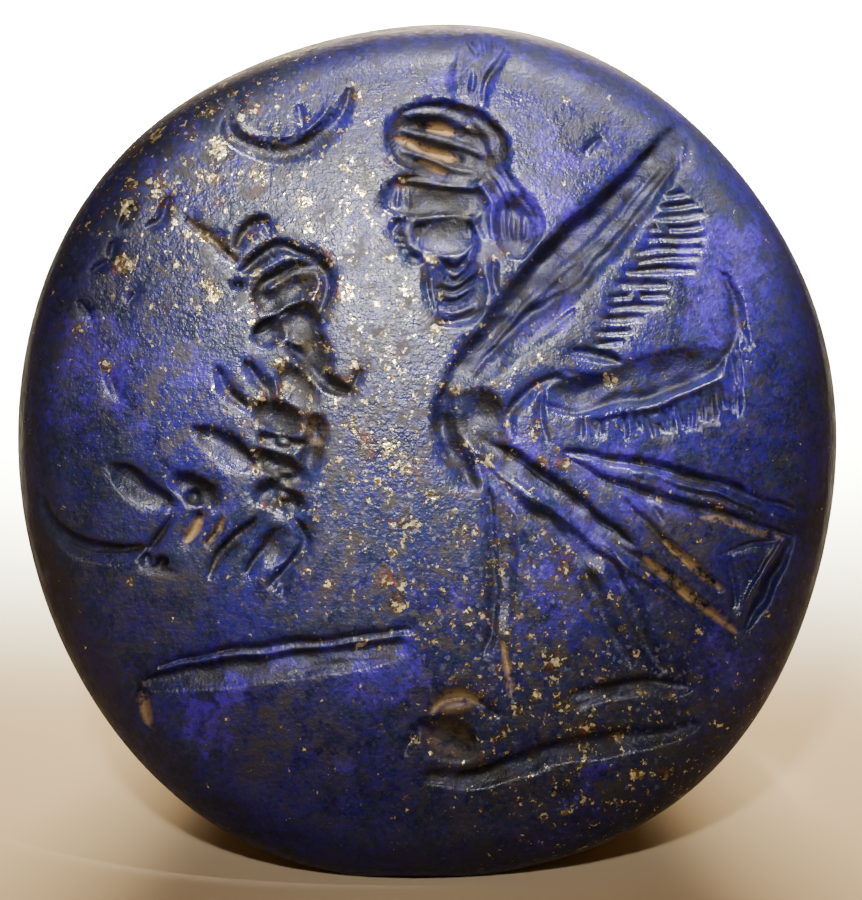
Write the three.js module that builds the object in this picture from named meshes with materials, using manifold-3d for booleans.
// A conical stamp seal of lapis lazuli, lying on its flank with its engraved face to the front.
// Sizes are in millimetres and angles in degrees. +X is the face's right, -Y the front, +Z up.

import * as THREE from 'three';
import { mergeVertices } from 'three/addons/utils/BufferGeometryUtils.js';
import Module from 'manifold-3d';

// Body
const faceHeight = 18.0;
const faceWidth = 17.2;
const sealLength = 24.0;
const domeRise = 1.0;      // how far the face's middle stands out before its rounded rim
const rimDepth = 1.2;      // length of the rounded rim along the seal
const rimWidth = 1.0;      // width of the rounded rim on the face
const narrowEnd = 11.0;    // height of the seal where its narrow end starts to round off
const endRounding = 3.6;   // length of that rounding
const restDepth = 0.25;    // how deep the small flat under the seal is cut

// Cord hole
const holeDiameter = 3.0;
const holeFromEnd = 6.0;   // from the narrow end to the hole's axis
const holeFlare = 0.5;     // how much wider the worn mouths are, on the radius
const flareDepth = 1.4;

// Engraving
const strokeWidth = 0.38;  // an ordinary stroke
const strokeDepth = 0.2;
const hollowDepth = 0.34;  // an ordinary hollow, such as a body or a head
const wallLift = 0.4;      // how far the cutting solids stand above the face

// The face's hand-cut outline: [waves round it, height as a share of the radius, direction of a crest]
const outlineWaves = [[2, 0.003, 142], [3, 0.0035, 35], [4, 0.008, 53], [5, 0.0045, 14], [6, 0.004, 12]];

const halfHeight = faceHeight / 2;
const halfWidth = faceWidth / 2;
const flankStart = domeRise + rimDepth;
const flankEnd = sealLength - endRounding;
const narrowShare = narrowEnd / faceHeight;
const flankPower = 1.15;   // above 1 the flank swells a little
const restShare = 0.38;    // where along the flank it is level
const aroundSteps = 64;

const wasm = await Module();
wasm.setup();
const rad = THREE.MathUtils.degToRad;

// Radius of the outline as a share of the plain ellipse, settling to the ellipse at the narrow end
function outlineShare(angle, along) {
  let share = 1;
  for (const [count, height, crest] of outlineWaves) {
    share += height * Math.cos(count * (angle - rad(crest)));
  }
  return 1 + (share - 1) * (1 - along);
}

// Distance behind the face's middle at a share of the face's radius
function faceDepth(share) {
  const rimStart = 1 - rimWidth / halfHeight;
  const into = Math.max(0, (share - rimStart) / (1 - rimStart));
  return domeRise * share * share + rimDepth * (1 - Math.sqrt(1 - Math.min(1, into) ** 2));
}

function flankShare(depth) {
  const along = Math.max(0, (depth - flankStart) / (flankEnd - flankStart));
  return 1 - (1 - narrowShare) * along ** flankPower;
}

// The seal's rings, from the face's middle to the tip of the narrow end: [share of the radius, depth]
function ringTable() {
  const rings = [0.3, 0.55, 0.78].map((share) => [share, faceDepth(share)]);
  const rimStart = 1 - rimWidth / halfHeight;
  for (let i = 0; i <= 5; i += 1) {
    const share = rimStart + (1 - rimStart) * Math.sin(rad(18 * i));
    rings.push([share, faceDepth(share)]);
  }
  for (let i = 1; i <= 6; i += 1) {
    const depth = flankStart + (flankEnd - flankStart) * i / 6;
    rings.push([flankShare(depth), depth]);
  }
  const endSlope = (1 - narrowShare) * flankPower / (flankEnd - flankStart);
  for (let i = 1; i <= 5; i += 1) {
    const into = Math.sin(rad(16.5 * i));
    const share = (narrowShare - endSlope * endRounding * into) * Math.sqrt(1 - into * into);
    rings.push([share, flankEnd + endRounding * into]);
  }
  return rings;
}

function closedGeometry(points, faces) {
  const geometry = new THREE.BufferGeometry();
  geometry.setAttribute('position', new THREE.Float32BufferAttribute(points.flat(), 3));
  geometry.setIndex(faces.flat());
  return geometry;
}

// A skin over rings of equally many points, closed by a point before the first and after the last
function skin(rings, first, last) {
  const count = rings[0].length;
  const points = [first, ...rings.flat(), last];
  const faces = [];
  for (let k = 0; k < count; k += 1) {
    const next = (k + 1) % count;
    faces.push([0, 1 + next, 1 + k]);
    for (let r = 0; r + 1 < rings.length; r += 1) {
      const a = 1 + r * count;
      const b = a + count;
      faces.push([a + k, a + next, b + next], [a + k, b + next, b + k]);
    }
    const end = 1 + (rings.length - 1) * count;
    faces.push([end + k, end + next, points.length - 1]);
  }
  return closedGeometry(points, faces);
}

function signedVolume(points, faces) {
  const [a, b, c] = [new THREE.Vector3(), new THREE.Vector3(), new THREE.Vector3()];
  let sum = 0;
  for (let i = 0; i < faces.length; i += 3) {
    a.fromArray(points, faces[i] * 3);
    b.fromArray(points, faces[i + 1] * 3);
    c.fromArray(points, faces[i + 2] * 3);
    sum += a.dot(b.cross(c)) / 6;
  }
  return sum;
}

// A solid with its faces outwards
function toSolid(geometry) {
  const plain = geometry.clone();
  plain.deleteAttribute('normal');
  plain.deleteAttribute('uv');
  const merged = mergeVertices(plain, 1e-5);
  const points = Float32Array.from(merged.attributes.position.array);
  const faces = Uint32Array.from(merged.index.array);
  if (signedVolume(points, faces) < 0) {
    faces.reverse();
  }
  return new wasm.Manifold(new wasm.Mesh({ numProp: 3, vertProperties: points, triVerts: faces }));
}

function sealBody() {
  const rings = ringTable().map(([share, depth]) => {
    const along = Math.min(1, Math.max(0, (depth - flankStart) / (sealLength - flankStart)));
    const ring = [];
    for (let k = 0; k < aroundSteps; k += 1) {
      const angle = 2 * Math.PI * k / aroundSteps;
      const size = share * outlineShare(angle, along);
      ring.push([halfWidth * size * Math.cos(angle), depth, halfHeight * size * Math.sin(angle)]);
    }
    return ring;
  });
  return toSolid(skin(rings, [0, 0, 0], [0, sealLength, 0]));
}

// The cord hole runs across the seal near its narrow end, with mouths worn wider
function cordHole() {
  const reach = halfWidth * flankShare(sealLength - holeFromEnd);
  const radius = holeDiameter / 2;
  const profile = [
    [0, -reach - 1], [radius + holeFlare, -reach - 1], [radius + holeFlare, -reach],
    [radius + holeFlare * 0.3, -reach + flareDepth * 0.5], [radius, -reach + flareDepth],
    [radius, reach - flareDepth], [radius + holeFlare * 0.3, reach - flareDepth * 0.5],
    [radius + holeFlare, reach], [radius + holeFlare, reach + 1], [0, reach + 1],
  ];
  const hole = new THREE.LatheGeometry(profile.map(([x, y]) => new THREE.Vector2(x, y)), 24);
  hole.rotateZ(-Math.PI / 2);
  hole.translate(0, sealLength - holeFromEnd, 0);
  return toSolid(hole);
}

// A place on the face, given in hundredths of its half width and half height, sunk by a depth
function onFace([x, y], sink) {
  const px = halfWidth * x / 100;
  const pz = halfHeight * y / 100;
  const share = Math.hypot(x, y) / 100 / outlineShare(Math.atan2(pz / halfHeight, px / halfWidth), 0);
  return new THREE.Vector3(px, faceDepth(Math.min(share, 0.995)) + sink, pz);
}

const cutters = [];

// A stroke along a line of places, V-shaped and thinner towards its ends
function stroke(places, width = 1, depth = 1, ends = 0.35) {
  const line = new THREE.CatmullRomCurve3(places.map((place) => onFace(place, 0)), false, 'centripetal');
  const steps = Math.max(3, places.length);
  const rings = [];
  const tips = [];
  for (let i = 0; i <= steps; i += 1) {
    const t = i / steps;
    const taper = ends + (1 - ends) * Math.sin(Math.PI * t) ** 0.6;
    const middle = line.getPointAt(t);
    const side = line.getTangentAt(t).setY(0).normalize();
    const half = strokeWidth * width * taper / 2;
    const sunk = strokeDepth * depth * taper;
    const across = new THREE.Vector3(side.z, 0, -side.x);
    const section = [[-1.3, -wallLift], [-1, 0], [0, sunk], [1, 0], [1.3, -wallLift]];
    rings.push(section.map(([out, down]) => [
      middle.x + across.x * half * out, middle.y + down, middle.z + across.z * half * out,
    ]));
    if (i === 0 || i === steps) {
      const away = i === 0 ? -half : half;
      tips.push([middle.x + side.x * away, middle.y - wallLift / 3, middle.z + side.z * away]);
    }
  }
  cutters.push(toSolid(skin(rings, tips[0], tips[1])));
}

// A rounded hollow: its middle, its half length and half width, its turn and its depth
function hollow(middle, long, wide, turn = 0, depth = 1) {
  const ball = new THREE.SphereGeometry(1, 10, 6);
  ball.rotateX(Math.PI / 2);
  const unit = halfHeight / 100;
  const reach = hollowDepth * depth;
  // the ball's middle stands above the face, so its sides slope in
  const lift = reach * 0.35;
  const flat = Math.sqrt(1 - (lift / (lift + reach)) ** 2);
  ball.rotateX(Math.PI / 2);
  ball.scale(long * unit / flat, lift + reach, wide * unit / flat);
  ball.rotateY(-rad(turn));
  const place = onFace(middle, -lift);
  ball.translate(place.x, place.y, place.z);
  cutters.push(toSolid(ball));
}

// Short strokes in a row between two lines of ends, as feathers or ribs
function strokeRow(count, fromA, fromB, toA, toB, width, depth) {
  for (let i = 0; i < count; i += 1) {
    const t = i / (count - 1);
    const mix = (a, b) => [a[0] + (b[0] - a[0]) * t, a[1] + (b[1] - a[1]) * t];
    stroke([mix(fromA, fromB), mix(toA, toB)], width, depth, 0.3);
  }
}

function crescent() {
  const inner = [];
  for (let i = 0; i <= 6; i += 1) {
    const angle = rad(172 + 196 * i / 6);
    inner.push([-33.5 + 15.5 * Math.cos(angle), 83 + 13.5 * Math.sin(angle)]);
  }
  stroke(inner, 1.2, 1, 0.2);
}

function wingedHead() {
  hollow([5, 72.5], 14.5, 8.5, -14, 1);
  stroke([[-6, 77], [3, 79], [12, 75]], 0.7, 1.9);
  stroke([[-8.5, 72], [0, 70.5], [9, 66]], 0.7, 1.9);
  stroke([[-5, 66.5], [3, 64.5], [12, 61]], 0.7, 1.2);
  stroke([[13.5, 78.5], [12.5, 85], [14.5, 91], [17.5, 95.5]], 2, 0.8, 0.7);
  hollow([1, 56], 7.5, 8, -20, 0.7);
  hollow([7.5, 50], 7, 7.5, -30, 0.8);
  stroke([[14, 67], [19.5, 60], [22, 53]], 1.6, 1.2, 0.5);
  hollow([20.5, 51], 6, 7.5, 0, 1);
  stroke([[16.5, 46], [17.5, 34.5]], 0.7, 0.8);
  strokeRow(4, [0.5, 43], [3, 30], [10, 45], [14, 33.5], 0.9, 0.9);
}

function upperWing() {
  stroke([[3.5, 12], [11, 23], [24.5, 39], [38, 52.5], [50, 65], [61.5, 74.5]], 2, 2, 0.25);
  stroke([[30, 29.5], [40, 38.5], [45, 47], [52, 57], [59, 65]], 1, 1);
  strokeRow(10, [58, 59], [36, 27.5], [66.5, 58], [47, 20], 0.8, 0.7);
}

function lowerWing() {
  stroke([[27.5, 13], [42, 11], [55, 13.5], [64, 17], [72, 21.5]], 1.8, 1.6, 0.3);
  hollow([55, 18], 13, 4, 14, 0.5);
  hollow([35, 14.5], 6.5, 2.8, 0, 0.5);
  stroke([[72, 19], [74.5, 30], [72.5, 37], [70.5, 43]], 1.3, 1, 0.2);
  strokeRow(11, [40, 7.5], [74, 14], [43.5, 0.5], [75, 7], 0.6, 0.7);
}

function body() {
  stroke([[4, 13], [4, 5], [7, -2], [11, -8]], 2.4, 2.2, 0.6);
  stroke([[28, 14.5], [21, 9.5], [19, 5.5], [20, 1]], 1, 1);
  stroke([[10, 4], [22, -1.5], [32, -8], [40, -19]], 1.6, 1.3);
  stroke([[18, -9], [25, -13.5], [31, -18], [36, -30], [44, -50]], 1.1, 1);
  stroke([[40, -19], [47, -32], [52, -46], [54, -52]], 1.9, 1.2);
  stroke([[15, -9], [15.5, -25], [17, -42], [20, -59]], 1, 1);
  stroke([[36, -55.5], [49, -52.5], [62, -53.5]], 1.1, 1);
  stroke([[2, -60], [10, -60.5], [19, -59]], 1, 1);
  hollow([4.5, -66], 7, 4.5, -25, 1.3);
  stroke([[2, -74], [27.5, -69], [47, -66], [65.5, -63.5]], 1.8, 1.4);
}

function tailFan() {
  stroke([[42, -1], [58, -4.5], [72, -8], [87, -12.5]], 1.3, 1);
  stroke([[44, -6], [60, -10], [76, -15], [87, -19.5]], 1.1, 0.9);
  stroke([[41, -18], [52, -25], [73.5, -41]], 1.3, 1.1);
  stroke([[54, -21], [70, -31.5]], 1.2, 0.8);
  stroke([[50, -25], [72, -40]], 0.8, 0.7);
  stroke([[88, -20.5], [84, -29], [76, -40.5]], 1.1, 0.9);
  stroke([[74, -23], [86, -20.5]], 0.7, 0.6);
  stroke([[70.5, -30], [75, -38]], 0.8, 0.6);
}

function rearingBeast() {
  stroke([[-59, 54.5], [-45, 44]], 0.9, 1);
  // the lobes of its comb or mane
  stroke([[-50, 49.5], [-44.5, 52.5]], 1, 0.9);
  stroke([[-45, 47.5], [-36.5, 51.5]], 1.2, 1);
  stroke([[-42.5, 43], [-30, 47.5]], 1.3, 1.2);
  stroke([[-39.5, 37], [-26.5, 42.5]], 1.7, 1.3);
  stroke([[-42.5, 31], [-33, 37]], 1.1, 1);
  stroke([[-43, 25.5], [-34, 31]], 1.1, 1);
  hollow([-28.5, 36], 4.5, 8, 0, 0.9);
  stroke([[-28.5, 34], [-32, 20], [-33.5, 4], [-35, -12]], 3.6, 1.9, 0.5);
  stroke([[-31, 25.5], [-21, 16], [-15.5, 20]], 1.3, 1);
  stroke([[-49.5, 19.5], [-43.5, 10.5]], 1.1, 1);
  stroke([[-45.5, 21.5], [-39.5, 15]], 1, 1);
  stroke([[-39, 20], [-39, 9]], 0.8, 0.7);
  stroke([[-55, 6], [-47, 2], [-39, -1]], 1.8, 1.2);
  stroke([[-74, -3], [-65, -8], [-55, -11]], 2.2, 1.2);
  stroke([[-92, -11], [-86, -17], [-77, -21.5], [-68.5, -20.5], [-62, -14.5]], 1.6, 1.2);
  stroke([[-63, -16], [-67.5, -24], [-75, -32]], 1, 0.8);
  stroke([[-54, -13], [-59, -21.5]], 0.9, 0.9);
  stroke([[-48.5, -15.5], [-52, -19]], 0.8, 0.8);
  stroke([[-68.5, -25], [-60, -27]], 1, 0.8);
  stroke([[-39.5, -5], [-42, -9], [-41, -15]], 0.8, 0.9);
  stroke([[-33.5, -11], [-30, -18.5], [-37, -25.5]], 1.3, 1.1);
  stroke([[-40.5, -16.5], [-49.5, -28.5]], 1.3, 1.1);
  stroke([[-39, -22.5], [-43.5, -27]], 1, 0.9);
  stroke([[-35, -25], [-34.5, -34.5]], 1, 0.7);
}

function leftGround() {
  stroke([[-67, -51.5], [-49, -48], [-29, -45]], 1.9, 1.2);
  stroke([[-32, -46.5], [-15, -44], [1, -41.5]], 0.9, 0.9);
  stroke([[-33, -51], [-18, -48.5], [-6, -47.5]], 0.9, 0.8);
  stroke([[-69, -54], [-67, -64]], 1, 0.9);
}

crescent();
wingedHead();
upperWing();
lowerWing();
body();
tailFan();
rearingBeast();
leftGround();

let seal = sealBody();
for (const cutter of cutters) {
  seal = seal.subtract(cutter);
}
seal = seal.subtract(cordHole());

// The seal lies on its flank, so its axis tips until the flank under its balance point is level
function flankTilt() {
  const depth = flankStart + (flankEnd - flankStart) * restShare;
  const drop = halfHeight * (flankShare(depth) - flankShare(depth + 0.01)) / 0.01;
  return Math.atan(drop);
}

function toGeometry(solid) {
  const mesh = solid.getMesh();
  const geometry = new THREE.BufferGeometry();
  const points = Float32Array.from({ length: mesh.vertProperties.length / mesh.numProp * 3 },
    (_, i) => mesh.vertProperties[Math.floor(i / 3) * mesh.numProp + i % 3]);
  geometry.setAttribute('position', new THREE.BufferAttribute(points, 3));
  geometry.setIndex(Array.from(mesh.triVerts));
  return geometry;
}

const tipped = toGeometry(seal).rotateX(-flankTilt());
tipped.computeBoundingBox();
const size = tipped.boundingBox;
const restLevel = size.min.z + restDepth;

// The small flat that keeps it from rolling
const floorBlock = new THREE.BoxGeometry(2 * faceWidth, 3 * sealLength, faceHeight);
floorBlock.translate(0, 0, restLevel - faceHeight / 2);
const lying = toGeometry(toSolid(tipped).subtract(toSolid(floorBlock)));
lying.computeBoundingBox();
const box = lying.boundingBox;
lying.translate(-(box.min.x + box.max.x) / 2, -(box.min.y + box.max.y) / 2, -box.min.z);
const finished = lying.toNonIndexed();
finished.computeVertexNormals();

const lapis = new THREE.MeshStandardMaterial({ color: 0x2a2c7c, roughness: 0.4, metalness: 0.0 });
const sealMesh = new THREE.Mesh(finished, lapis);
sealMesh.name = 'seal_body';

const part = new THREE.Group();
part.name = 'conical_stamp_seal';
part.add(sealMesh);

export default part;
